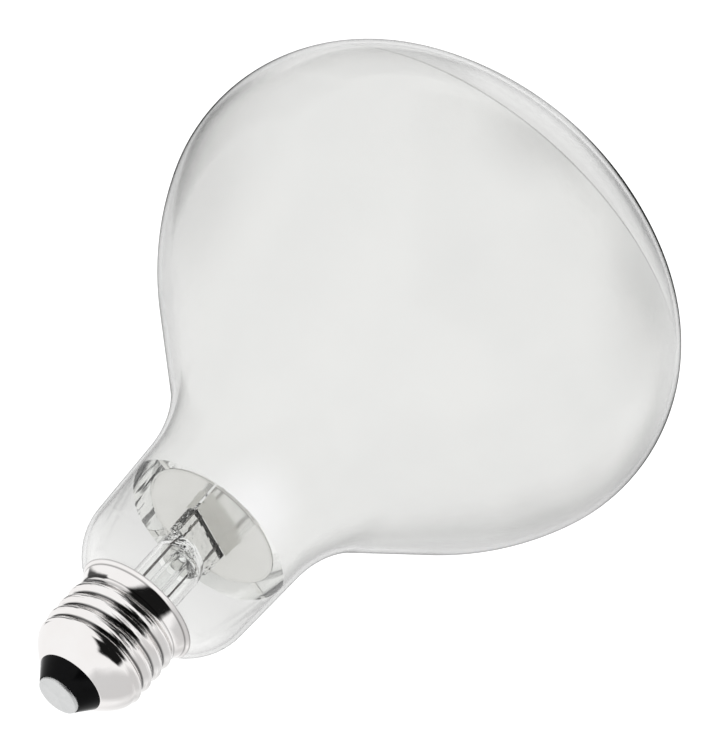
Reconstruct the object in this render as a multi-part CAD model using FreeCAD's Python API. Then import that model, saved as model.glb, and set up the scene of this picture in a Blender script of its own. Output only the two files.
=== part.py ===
import FreeCAD, Part
import math
import os

Vector = FreeCAD.Vector

# Reflector lamp hanging from its screw cap: the axis is Z, the cap is up and the dome is down.
# A depth is a distance in mm down the axis from the face of the centre contact, which is at Z = 0.
# A drop is a distance in mm down the axis from the seal at the top of the glass.

# Screw shell of the cap, a rolled sheet
shell_wall = 0.3
lip_r = 7.95
lip_depth = 4.7
cone_height = 5.6
thread_pitch = 3.629
thread_crest_r = 13.15
thread_height = 0.9
thread_length = 14.0
thread_crest_depth = 13.9
skirt_height = 3.7
skirt_flare = 1.3
poles_per_turn = 24
poles_per_pitch = 8

# Bulb glass, from the seal inside the cap down to the dome
bulb_r = 62.5
glass_wall = 0.9
seal_room = 0.95
seal_rise = 8.0
shoulder_gap = 0.1
shoulder_in_r = 6.0
shoulder_angle = 52.0
shoulder_run = 2.0
neck_r = 20.5
neck_taper = 2.6
neck_length = 19.8
flare_r = 33.0
cone_angle = 42.5
belly_r = 68.5
belly_angle = 20.2
rim_r = 36.4
rim_angle = 48.8

# Mirror film on the inside of the glass
mirror_film = 0.1
mirror_gap = 0.02
mirror_top_drop = 33.0
mirror_front_drop = 128.5

# Cap end: black insulator, eyelet and solder pad
insulator_face_r = 5.3
insulator_face_depth = 0.9
insulator_floor_depth = 8.2
insulator_funnel_r = 4.0
insulator_funnel_depth = 6.6
insulator_gap = 0.04
eyelet_r = 4.6
eyelet_sheet = 0.5
eyelet_tube_r = 1.6
eyelet_bore_r = 1.1
eyelet_tube_depth = 5.2
pad_r = 5.0
pad_edge_r = 0.5
pad_plug_depth = 2.6

# Cement ring between the skirt and the glass
cement_height = 2.6
cement_recess = 0.4
cement_gap = 0.04

# Glass stem with its flat press, and the exhaust tube inside it
stem_r = 6.0
stem_wall = 1.0
stem_length = 22.0
foot_land = 1.0
pinch_length = 6.0
press_angle = -35.0
press_width = 13.0
press_thick = 3.2
press_length = 7.0
press_overlap = 1.5
bore_run = 2.0
exhaust_r = 2.0
exhaust_bore_r = 1.2
exhaust_rise = 8.0
exhaust_tip_wall = 1.5
exhaust_hole_r = 0.9
exhaust_hole_run = 1.4

# Heat shield, a dished disc with a collar that grips the press
shield_r = 16.0
shield_sheet = 0.3
shield_set_back = 0.4
shield_dish = 1.3
shield_bead_r = 0.35
collar_height = 3.1
collar_gap = 0.05
slit_width = 0.5
lug_count = 4
lug_angle = -23.0
lug_width = 1.6
lug_gap = 0.3

# Lead wires
outer_lead_r = 0.25
inner_lead_r = 0.4
lead_offset = 4.2
weld_run = 1.0
lead_bend_r = 1.2
centre_lead_bend_depth = 14.0
centre_lead_axis_depth = 7.5
centre_lead_end_depth = 1.7
side_lead_rise = 1.8
side_lead_set_back = 1.2
inner_lead_bend_drop = 56.0
inner_lead_rise = 7.0
inner_lead_bend_r = 3.0

# Filament ring, and the glass cane whose button carries the support wires
filament_r = 17.0
filament_drop = 78.0
filament_gap_angle = 50.0
coil_r = 1.0
cane_r = 1.5
button_r = 3.2
button_drop = 68.0
button_height = 4.4
support_count = 5
support_wire_r = 0.2
support_embed = 1.2
support_wrap_angle = 250.0
support_gap = 0.02

# Depths and radii that follow from those sizes, cap first
corner_depth = lip_depth + cone_height
skirt_top_depth = corner_depth + thread_length
skirt_depth = skirt_top_depth + skirt_height
thread_mean_r = thread_crest_r - thread_height / 2
thread_root_r = thread_crest_r - thread_height
skirt_r = thread_mean_r + skirt_flare
seal_depth = skirt_depth - seal_rise
seal_r = thread_root_r - shell_wall - seal_room
stem_flare_r = seal_r - foot_land - stem_r
pinch_start_depth = seal_depth + stem_length
pinch_end_depth = pinch_start_depth + pinch_length
press_end_depth = pinch_end_depth + press_length
bore_end_depth = pinch_start_depth + bore_run
exhaust_hole_depth = bore_end_depth + exhaust_hole_run
weld_depth = pinch_end_depth + weld_run
shield_rim_depth = press_end_depth - shield_set_back
filament_depth = seal_depth + filament_drop
button_depth = seal_depth + button_drop
axis = Vector(0, 0, 1)


def sin(degrees):
    return math.sin(math.radians(degrees))


def cos(degrees):
    return math.cos(math.radians(degrees))


def at(r, depth):
    """A point of a profile in the plane that is revolved about the axis."""
    return Vector(r, 0, -depth)


def round_about(degrees, r, depth):
    """A point at an angle about the axis."""
    return Vector(r * cos(degrees), r * sin(degrees), -depth)


def along_press(offset, depth):
    """A point in the plane of the stem's press."""
    return round_about(press_angle, offset, depth)


def revolve(edges):
    return Part.Face(Part.Wire(edges)).revolve(Vector(), axis, 360)


def turned(points):
    """Solid of revolution with straight edges between its profile points."""
    return revolve(Part.makePolygon([at(r, depth) for r, depth in points + points[:1]]).Edges)


def rod(r, top_depth, bottom_depth):
    return Part.makeCylinder(r, bottom_depth - top_depth, at(0, bottom_depth))


def block(width, thick, top_depth, bottom_depth):
    """Box across the axis, turned to the press."""
    box = Part.makeBox(width, thick, bottom_depth - top_depth, Vector(-width / 2, -thick / 2, -bottom_depth))
    box.rotate(Vector(), axis, press_angle)
    return box


def bent_wire(points, r, bend_r):
    """Round wire along straight runs joined by tangent arcs."""
    edges = []
    start = points[0]
    for corner, after in zip(points[1:-1], points[2:]):
        into = (corner - start).normalize()
        out = (after - corner).normalize()
        half_turn = into.getAngle(out) / 2
        trim = bend_r * math.tan(half_turn)
        inside = (out - into).normalize() * (bend_r / math.cos(half_turn) - bend_r)
        bend_start = corner - into * trim
        bend_end = corner + out * trim
        edges.append(Part.LineSegment(start, bend_start).toShape())
        edges.append(Part.Arc(bend_start, corner + inside, bend_end).toShape())
        start = bend_end
    edges.append(Part.LineSegment(start, points[-1]).toShape())
    return sweep(edges, r)


def sweep(edges, r):
    first = edges[0]
    start = first.valueAt(first.FirstParameter)
    ring = Part.Wire(Part.makeCircle(r, start, first.tangentAt(first.FirstParameter)))
    return Part.Wire(edges).makePipeShell([ring], True, False)


class GlassOutline:
    """The bulb's outline as tangent lines and arcs, set in from the outer surface by an inset."""

    def __init__(self, inset):
        self.inset = inset
        self.r = seal_r
        self.depth = seal_depth
        self.heading = 0.0
        self.edges = []

    def point(self):
        return at(self.r - self.inset * cos(self.heading), self.depth + self.inset * sin(self.heading))

    def line(self, length):
        start = self.point()
        self.r += length * sin(self.heading)
        self.depth += length * cos(self.heading)
        self.edges.append(Part.LineSegment(start, self.point()).toShape())

    def turn(self, radius, heading):
        side = math.copysign(radius, heading - self.heading)
        self.r -= side * (cos(heading) - cos(self.heading))
        self.depth += side * (sin(heading) - sin(self.heading))
        self.heading = heading

    def arc(self, radius, heading):
        start = self.point()
        halfway = (self.heading + heading) / 2
        self.turn(radius, halfway)
        middle = self.point()
        self.turn(radius, heading)
        self.edges.append(Part.Arc(start, middle, self.point()).toShape())


def seal_length():
    """Straight run of the seal that lets the shoulder pass the skirt's rim at its gap."""
    shoulder_r = seal_r + shoulder_in_r * (1 - cos(shoulder_angle))
    past_rim = (shoulder_r - skirt_r + shell_wall) * cos(shoulder_angle) + shoulder_gap
    return seal_rise - shoulder_in_r * sin(shoulder_angle) + past_rim / sin(shoulder_angle)


def glass_outline(inset):
    """Outline from the seal to the middle of the dome, led through the neck's and the bulb's radii."""
    outline = GlassOutline(inset)
    outline.line(seal_length())
    outline.arc(shoulder_in_r, shoulder_angle)
    outline.line(shoulder_run)
    outline.arc((neck_r - outline.r) / (cos(neck_taper) - cos(shoulder_angle)), neck_taper)
    outline.neck_depth = outline.depth
    outline.line(neck_length)
    outline.arc(flare_r, cone_angle)
    belly_start_r = bulb_r - rim_r * (1 - cos(belly_angle)) - belly_r * (cos(belly_angle) - cos(cone_angle))
    outline.line((belly_start_r - outline.r) / sin(cone_angle))
    outline.arc(belly_r, belly_angle)
    outline.arc(rim_r, -rim_angle)
    outline.arc(outline.r / cos(rim_angle), -90.0)
    return outline


def glass_body(inset):
    """The bulb as a filled solid, set in from the outer surface."""
    outline = glass_outline(inset)
    start = outline.edges[0].valueAt(outline.edges[0].FirstParameter)
    middle = Vector(0, 0, start.z)
    pole = Vector(0, 0, -(outline.depth - inset))
    closing = [Part.LineSegment(pole, middle).toShape(), Part.LineSegment(middle, start).toShape()]
    return revolve(outline.edges + closing)


def glass_inside_r(depth):
    """Inside radius of the neck glass at a depth along its taper."""
    along = depth - glass_outline(0.0).neck_depth
    return neck_r + (along * sin(neck_taper) - glass_wall) / cos(neck_taper)


def glass_envelope():
    return glass_body(0.0).cut(glass_body(glass_wall))


def mirror_coating():
    inset = glass_wall + mirror_gap
    film = glass_body(inset).cut(glass_body(inset + mirror_film))
    return film.common(rod(2 * bulb_r, seal_depth + mirror_top_drop, seal_depth + mirror_front_drop))


def shell_base_r(depth):
    """Mean outside radius of the screw shell: end cone, threaded stretch and flared skirt."""
    if depth < corner_depth:
        return lip_r + (thread_mean_r - lip_r) * (depth - lip_depth) / cone_height
    if depth < skirt_top_depth:
        return thread_mean_r
    return thread_mean_r + skirt_flare * (depth - skirt_top_depth) / skirt_height


def thread_fade(depth):
    """Share of the full thread height, which runs out over half a pitch at both ends."""
    from_end = min(depth - corner_depth, skirt_top_depth - depth)
    return min(max(from_end / (thread_pitch / 2), 0.0), 1.0)


def shell_surface(inset):
    """Right-hand rolled thread as one closed spline surface, with gains that undo the spline's smoothing."""
    rows = round((skirt_depth - lip_depth) * poles_per_pitch / thread_pitch)
    row_step = (skirt_depth - lip_depth) / rows
    ring_gain = 3 / (2 + math.cos(2 * math.pi / poles_per_turn))
    wave_gain = 3 / (2 + math.cos(2 * math.pi * row_step / thread_pitch))
    poles = []
    for column in range(poles_per_turn):
        turn = column / poles_per_turn
        poles.append([])
        for row in range(rows + 1):
            depth = lip_depth + row * row_step
            wave = math.cos(2 * math.pi * ((depth - thread_crest_depth) / thread_pitch + turn))
            r = shell_base_r(depth) + thread_height / 2 * wave_gain * thread_fade(depth) * wave - inset
            poles[-1].append(round_about(360 * turn, ring_gain * r, depth))
    spans = rows - 2
    surface = Part.BSplineSurface()
    surface.buildFromPolesMultsKnots(
        poles,
        [1] * (poles_per_turn + 1),
        [4] + [1] * (spans - 1) + [4],
        list(range(poles_per_turn + 1)),
        list(range(spans + 1)),
        True,
        False,
        3,
        3,
    )
    return surface.toShape()


def shell_body(inset):
    """The shell as a filled solid, closed by a flat disc at each end."""
    wall = shell_surface(inset)
    ends = [edge for edge in wall.Edges if edge.BoundBox.ZLength < shell_wall]
    discs = [Part.Face(Part.Wire(edge)) for edge in ends]
    shell = Part.Shell([wall] + discs)
    shell.sewShape()
    return Part.Solid(shell)


def screw_shell():
    return shell_body(0.0).cut(shell_body(shell_wall))


def cap_insulator():
    seat_r = lip_r - shell_wall - insulator_gap
    floor_r = shell_base_r(insulator_floor_depth) - shell_wall - insulator_gap
    recess_depth = insulator_face_depth + eyelet_sheet
    return turned([
        (insulator_face_r, insulator_face_depth),
        (lip_r, lip_depth),
        (seat_r, lip_depth),
        (floor_r, insulator_floor_depth),
        (insulator_funnel_r, insulator_funnel_depth),
        (eyelet_tube_r, eyelet_tube_depth),
        (eyelet_tube_r, recess_depth),
        (eyelet_r, recess_depth),
        (eyelet_r, insulator_face_depth),
    ])


def contact_eyelet():
    return turned([
        (eyelet_bore_r, insulator_face_depth),
        (eyelet_r, insulator_face_depth),
        (eyelet_r, insulator_face_depth + eyelet_sheet),
        (eyelet_tube_r, insulator_face_depth + eyelet_sheet),
        (eyelet_tube_r, eyelet_tube_depth),
        (eyelet_bore_r, eyelet_tube_depth),
    ])


def contact_solder(centre_lead):
    """Flat solder pad over the eyelet, with a plug in its bore round the lead's end."""
    flat_r = pad_r - pad_edge_r
    edge_middle = at(flat_r + pad_edge_r * sin(45), pad_edge_r * (1 - cos(45)))
    profile = [
        Part.LineSegment(at(0, 0), at(flat_r, 0)).toShape(),
        Part.Arc(at(flat_r, 0), edge_middle, at(pad_r, pad_edge_r)).toShape(),
    ]
    rest = [
        at(pad_r, pad_edge_r),
        at(pad_r, insulator_face_depth),
        at(eyelet_bore_r, insulator_face_depth),
        at(eyelet_bore_r, pad_plug_depth),
        at(0, pad_plug_depth),
        at(0, 0),
    ]
    return revolve(profile + Part.makePolygon(rest).Edges).cut(centre_lead)


def capping_cement(side_lead):
    """Cement that fills the skirt between the sheet and the glass, round the side lead."""
    inset = shell_wall + cement_gap
    top_depth = skirt_depth - cement_height
    bottom_depth = skirt_depth - cement_recess
    filling = turned([
        (0, top_depth),
        (shell_base_r(top_depth) - inset, top_depth),
        (shell_base_r(bottom_depth) - inset, bottom_depth),
        (0, bottom_depth),
    ])
    return filling.cut(glass_body(0.0)).cut(side_lead)


def stem_tube():
    """Tube with a flared foot that is sealed to the bulb's glass."""
    flare_depth = seal_depth + stem_flare_r
    centre_r = stem_r + stem_flare_r
    inside_flare_r = stem_flare_r + stem_wall
    corner = cos(45)
    profile = [
        Part.LineSegment(at(seal_r, seal_depth), at(centre_r, seal_depth)).toShape(),
        Part.Arc(
            at(centre_r, seal_depth),
            at(centre_r - stem_flare_r * corner, flare_depth - stem_flare_r * corner),
            at(stem_r, flare_depth),
        ).toShape(),
    ]
    tube = [
        at(stem_r, flare_depth),
        at(stem_r, pinch_start_depth),
        at(stem_r - stem_wall, pinch_start_depth),
        at(stem_r - stem_wall, flare_depth),
    ]
    inside = [
        Part.Arc(
            at(stem_r - stem_wall, flare_depth),
            at(centre_r - inside_flare_r * corner, flare_depth - inside_flare_r * corner),
            at(centre_r, seal_depth - stem_wall),
        ).toShape(),
    ]
    foot = [
        at(centre_r, seal_depth - stem_wall),
        at(seal_r, seal_depth - stem_wall),
        at(seal_r, seal_depth),
    ]
    edges = profile + Part.makePolygon(tube).Edges + inside + Part.makePolygon(foot).Edges
    return revolve(edges)


def stem_pinch():
    """Tube end drawn from a circle to the flat section of the press, with the bore closing in it."""
    inner_r = stem_r - stem_wall
    outer = [Part.makeCircle(stem_r, at(0, pinch_start_depth)), press_oval(press_thick / 2, pinch_end_depth)]
    bore = rod(inner_r, pinch_start_depth, pinch_start_depth + stem_wall)
    tip = Part.makeCone(exhaust_r, inner_r, bore_end_depth - pinch_start_depth - stem_wall, at(0, bore_end_depth))
    pinch = Part.makeLoft([Part.Wire(edge) for edge in outer], True)
    press = block(press_width, press_thick, pinch_end_depth - press_overlap, press_end_depth)
    return pinch.fuse(press).cut(bore.fuse(tip))


def press_oval(half_thick, depth):
    oval = Part.Ellipse(at(0, depth), press_width / 2, half_thick).toShape()
    oval.rotate(Vector(), axis, press_angle)
    return oval


def stem(embedded):
    """Stem fitted round the wires that it holds, with a hole from the exhaust tube out of its far side."""
    far_side = round_about(press_angle + 90, stem_r, 0)
    hole = Part.makeCylinder(exhaust_hole_r, stem_r, at(0, exhaust_hole_depth), far_side)
    glass = stem_tube().fuse(stem_pinch())
    for piece in embedded + [hole, rod(exhaust_bore_r, bore_end_depth, exhaust_hole_depth)]:
        glass = glass.cut(piece)
    return glass.removeSplitter()


def exhaust_tube():
    """Thin tube with a rounded, sealed tip."""
    top = seal_depth - exhaust_rise + exhaust_r
    tube = rod(exhaust_r, top, bore_end_depth).fuse(Part.makeSphere(exhaust_r, at(0, top)))
    return tube.cut(rod(exhaust_bore_r, top + exhaust_tip_wall, bore_end_depth)).removeSplitter()


def outer_lead_centre():
    """Wire from the press to the centre contact."""
    return bent_wire(
        [
            along_press(lead_offset, weld_depth),
            along_press(lead_offset, centre_lead_bend_depth),
            along_press(0, centre_lead_axis_depth),
            along_press(0, centre_lead_end_depth),
        ],
        outer_lead_r,
        lead_bend_r,
    )


def outer_lead_side():
    """Wire from the press round the glass seal to the inside of the skirt."""
    gap_r = seal_r + seal_room / 2
    turn_depth = seal_depth - stem_wall - side_lead_rise
    end_depth = skirt_depth - side_lead_set_back
    lean = math.atan2(skirt_flare, skirt_height)
    end_r = shell_base_r(end_depth) - (shell_wall + outer_lead_r + cement_gap) / math.cos(lean)
    bend_depth = end_depth - (end_r - gap_r) / math.tan(lean)
    return bent_wire(
        [
            along_press(-lead_offset, weld_depth),
            along_press(-lead_offset, turn_depth),
            along_press(-gap_r, turn_depth),
            along_press(-gap_r, bend_depth),
            along_press(-end_r, end_depth),
        ],
        outer_lead_r,
        lead_bend_r,
    )


def filament_end(side):
    """Angle of an end of the filament ring, whose gap faces square to the press."""
    return press_angle - 90 + side * filament_gap_angle / 2


def inner_lead(side):
    """Wire from the press to an end of the filament; side is 1 or -1."""
    angle = filament_end(side)
    outward = Vector(sin(angle), -cos(angle), 0) * side * inner_lead_r
    top = round_about(angle, filament_r, filament_depth - inner_lead_rise) + outward
    end = round_about(angle, filament_r, filament_depth + coil_r) + outward
    return bent_wire(
        [
            along_press(side * lead_offset, weld_depth),
            along_press(side * lead_offset, seal_depth + inner_lead_bend_drop),
            top,
            end,
        ],
        inner_lead_r,
        inner_lead_bend_r,
    )


def filament():
    """Coil as the open ring of its outside diameter."""
    section = Part.Face(Part.Wire(Part.makeCircle(coil_r, at(filament_r, filament_depth), Vector(0, 1, 0))))
    ring = section.revolve(Vector(), axis, 360 - filament_gap_angle)
    ring.rotate(Vector(), axis, filament_end(1))
    return ring


def support_wire(number):
    """Straight wire out of the button, wrapped once round the coil."""
    loop_r = coil_r + support_wire_r + support_gap
    start = at(button_r - support_embed, button_depth)
    centre = at(filament_r, filament_depth)
    reach = centre - start
    lean = math.degrees(math.atan2(-reach.z, reach.x) + math.asin(loop_r / reach.Length))
    normal = lean - 90
    run = Part.LineSegment(start, centre + loop_point(loop_r, normal)).toShape()
    hook = Part.Arc(
        centre + loop_point(loop_r, normal),
        centre + loop_point(loop_r, normal + support_wrap_angle / 2),
        centre + loop_point(loop_r, normal + support_wrap_angle),
    ).toShape()
    wire = sweep([run, hook], support_wire_r)
    share = (number - 0.5) / support_count
    wire.rotate(Vector(), axis, filament_end(1) + share * (360 - filament_gap_angle))
    return wire


def loop_point(r, degrees):
    """Offset from the coil's centre, with angles turning from outward to downward."""
    return at(r * cos(degrees), r * sin(degrees))


def support_cane(wires):
    """Glass rod on the press, swelling into a button that holds the support wires."""
    cane = rod(cane_r, press_end_depth, button_depth)
    half = button_height / 2
    corner_r = button_r - half
    button = [
        Part.LineSegment(at(0, button_depth - half), at(corner_r, button_depth - half)).toShape(),
        Part.Arc(
            at(corner_r, button_depth - half),
            at(button_r, button_depth),
            at(corner_r, button_depth + half),
        ).toShape(),
        Part.LineSegment(at(corner_r, button_depth + half), at(0, button_depth + half)).toShape(),
        Part.LineSegment(at(0, button_depth + half), at(0, button_depth - half)).toShape(),
    ]
    glass = cane.fuse(revolve(button))
    for wire in wires:
        glass = glass.cut(wire)
    return glass.removeSplitter()


def heat_shield():
    """Dished disc with a beaded rim, centring lugs, a collar for the press and a slit to slide it on."""
    middle_depth = shield_rim_depth + shield_dish
    disc = turned([
        (0, middle_depth),
        (shield_r, shield_rim_depth),
        (shield_r, shield_rim_depth + shield_sheet),
        (0, middle_depth + shield_sheet),
    ])
    bead = Part.makeTorus(shield_r, shield_bead_r, at(0, shield_rim_depth + shield_sheet / 2))
    slot = [press_width + 2 * collar_gap, press_thick + 2 * collar_gap]
    collar_top_depth = middle_depth - collar_height
    collar = block(*[size + 2 * shield_sheet for size in slot], collar_top_depth, middle_depth)
    shield = disc.fuse([bead, collar] + shield_lugs())
    slit_x = slot[0] / 2 * cos(press_angle)
    slit_y = slot[0] / 2 * sin(press_angle)
    slit_length = 2 * shield_r
    slit = Part.makeBox(
        slit_width,
        slit_length,
        slit_length,
        Vector(slit_x - slit_width, slit_y - slit_length, -shield_rim_depth - slit_length / 2),
    )
    through = block(*slot, collar_top_depth, middle_depth + shield_r)
    return shield.cut(through.fuse(slit)).removeSplitter()


def shield_lugs():
    """Flat lugs from the rim to just short of the neck's mirrored wall."""
    reach = glass_inside_r(shield_rim_depth) - mirror_gap - mirror_film - lug_gap
    lugs = []
    for number in range(lug_count):
        start = Vector(shield_r, -lug_width / 2, -shield_rim_depth - shield_sheet)
        lug = Part.makeBox(reach - shield_r, lug_width, shield_sheet, start)
        lug.rotate(Vector(), axis, lug_angle + number * 360 / lug_count)
        lugs.append(lug)
    return lugs


def build():
    """All the pieces by name."""
    leads = {
        "outer_lead_centre": outer_lead_centre(),
        "outer_lead_side": outer_lead_side(),
        "inner_lead_1": inner_lead(1),
        "inner_lead_2": inner_lead(-1),
    }
    supports = {f"support_wire_{number}": support_wire(number) for number in range(1, support_count + 1)}
    pieces = {
        "glass_envelope": glass_envelope(),
        "mirror_coating": mirror_coating(),
        "screw_shell": screw_shell(),
        "cap_insulator": cap_insulator(),
        "contact_eyelet": contact_eyelet(),
        "contact_solder": contact_solder(leads["outer_lead_centre"]),
        "capping_cement": capping_cement(leads["outer_lead_side"]),
        "stem": stem(list(leads.values())),
        "exhaust_tube": exhaust_tube(),
        "heat_shield": heat_shield(),
        "support_cane": support_cane(list(supports.values())),
        "filament": filament(),
    }
    return {**pieces, **leads, **supports}


os.makedirs("parts", exist_ok=True)
for name, shape in build().items():
    shape.exportStep(f"parts/{name}.step")
    print(name, shape.ShapeType, len(shape.Solids), shape.isValid(), round(shape.Volume, 2))
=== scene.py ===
import logging
import math
from dataclasses import dataclass, field, replace
from enum import Enum
from typing import Optional, Sequence, Union

import bmesh
import bpy
from mathutils import Matrix, Vector


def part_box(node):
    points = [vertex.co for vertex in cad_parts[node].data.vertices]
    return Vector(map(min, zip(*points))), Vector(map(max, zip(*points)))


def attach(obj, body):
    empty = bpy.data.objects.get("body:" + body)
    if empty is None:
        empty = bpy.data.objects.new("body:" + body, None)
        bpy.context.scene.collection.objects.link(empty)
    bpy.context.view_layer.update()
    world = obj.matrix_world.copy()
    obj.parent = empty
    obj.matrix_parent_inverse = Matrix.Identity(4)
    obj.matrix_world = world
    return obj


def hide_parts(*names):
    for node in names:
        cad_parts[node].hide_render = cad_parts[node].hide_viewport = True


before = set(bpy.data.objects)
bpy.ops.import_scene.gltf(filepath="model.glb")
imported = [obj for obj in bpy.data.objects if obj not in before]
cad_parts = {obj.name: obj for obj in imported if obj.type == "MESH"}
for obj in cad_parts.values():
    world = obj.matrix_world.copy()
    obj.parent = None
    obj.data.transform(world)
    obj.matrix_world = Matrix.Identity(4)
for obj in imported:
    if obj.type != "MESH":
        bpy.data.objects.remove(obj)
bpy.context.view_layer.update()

BODY = "root"
MM = 0.001
WELD = 1e-6
CARD_UV = "card"
WHITE = (1.0, 1.0, 1.0)
GLASS_IOR = 1.5
SQUARE = [(0.0, 0.0), (1.0, 0.0), (1.0, 1.0), (0.0, 1.0)]
# mesh attribute that carries the painted shade in the cap's grooves and creases
PAINTED_SHADE_ATTRIBUTE = "painted_shade"
ROLLED = "rolled"
LOG = logging.getLogger("heat_lamp")

Colour = tuple[float, float, float]
Triple = tuple[float, float, float]
RingPoint = tuple[float, float]
Node = bpy.types.Node
Socket = bpy.types.NodeSocket
Piece = bpy.types.Object
Socketed = Union["Value", Socket, bpy.types.Material, float, int, bool, tuple]


class Op(Enum):
    """Operations of the Math node that the expressions use."""

    ADD = "ADD"
    SUBTRACT = "SUBTRACT"
    MULTIPLY = "MULTIPLY"
    DIVIDE = "DIVIDE"
    MINIMUM = "MINIMUM"
    MAXIMUM = "MAXIMUM"
    SMOOTH_MINIMUM = "SMOOTH_MIN"
    ABSOLUTE = "ABSOLUTE"
    OVER = "GREATER_THAN"
    ROUND = "ROUND"
    SINE = "SINE"
    COSINE = "COSINE"
    POWER = "POWER"


class Seen(Enum):
    """How a card shows: in reflections, through glass or both."""

    REFLECTED = (True, False)
    THROUGH_GLASS = (False, True)
    BOTH = (True, True)


class Ray(Enum):
    """Light Path outputs for the rays that show the white backdrop."""

    CAMERA = "Is Camera Ray"
    GLOSSY = "Is Glossy Ray"
    TRANSMISSION = "Is Transmission Ray"


class Detail(Enum):
    """How many finer layers a noise pattern has."""

    SMOOTH = 1.0
    PLAIN = 2.0
    SOFT = 3.0
    FINE = 4.0


class Value:
    """A number output of a node tree that takes part in Python expressions."""

    def __init__(self, graph: "Graph", socket: Socket) -> None:
        """Hold the socket and the graph that it belongs to."""
        self.graph = graph
        self.socket = socket

    def __add__(self, other: Socketed) -> "Value":
        """Value plus other."""
        return self.graph.maths(Op.ADD, self, other)

    def __radd__(self, other: Socketed) -> "Value":
        """Other plus value."""
        return self.graph.maths(Op.ADD, other, self)

    def __sub__(self, other: Socketed) -> "Value":
        """Value less other."""
        return self.graph.maths(Op.SUBTRACT, self, other)

    def __rsub__(self, other: Socketed) -> "Value":
        """Other less value."""
        return self.graph.maths(Op.SUBTRACT, other, self)

    def __mul__(self, other: Socketed) -> "Value":
        """Value times other."""
        return self.graph.maths(Op.MULTIPLY, self, other)

    def __rmul__(self, other: Socketed) -> "Value":
        """Other times value."""
        return self.graph.maths(Op.MULTIPLY, other, self)

    def __truediv__(self, other: Socketed) -> "Value":
        """Value divided by other."""
        return self.graph.maths(Op.DIVIDE, self, other)

    def __rtruediv__(self, other: Socketed) -> "Value":
        """Other divided by value."""
        return self.graph.maths(Op.DIVIDE, other, self)

    def clamped(self) -> "Value":
        """Value held between 0 and 1."""
        return self.graph.maths(Op.MINIMUM, self.graph.maths(Op.MAXIMUM, self, 0.0), 1.0)

    def between(self, low: float, high: float) -> "Value":
        """Value of 0 to 1 stretched to run from low to high."""
        return self * (high - low) + low

    def eased(self) -> "Value":
        """Value of 0 to 1 that sets off and arrives gently."""
        return self * self * (3.0 - self * 2.0)


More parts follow.
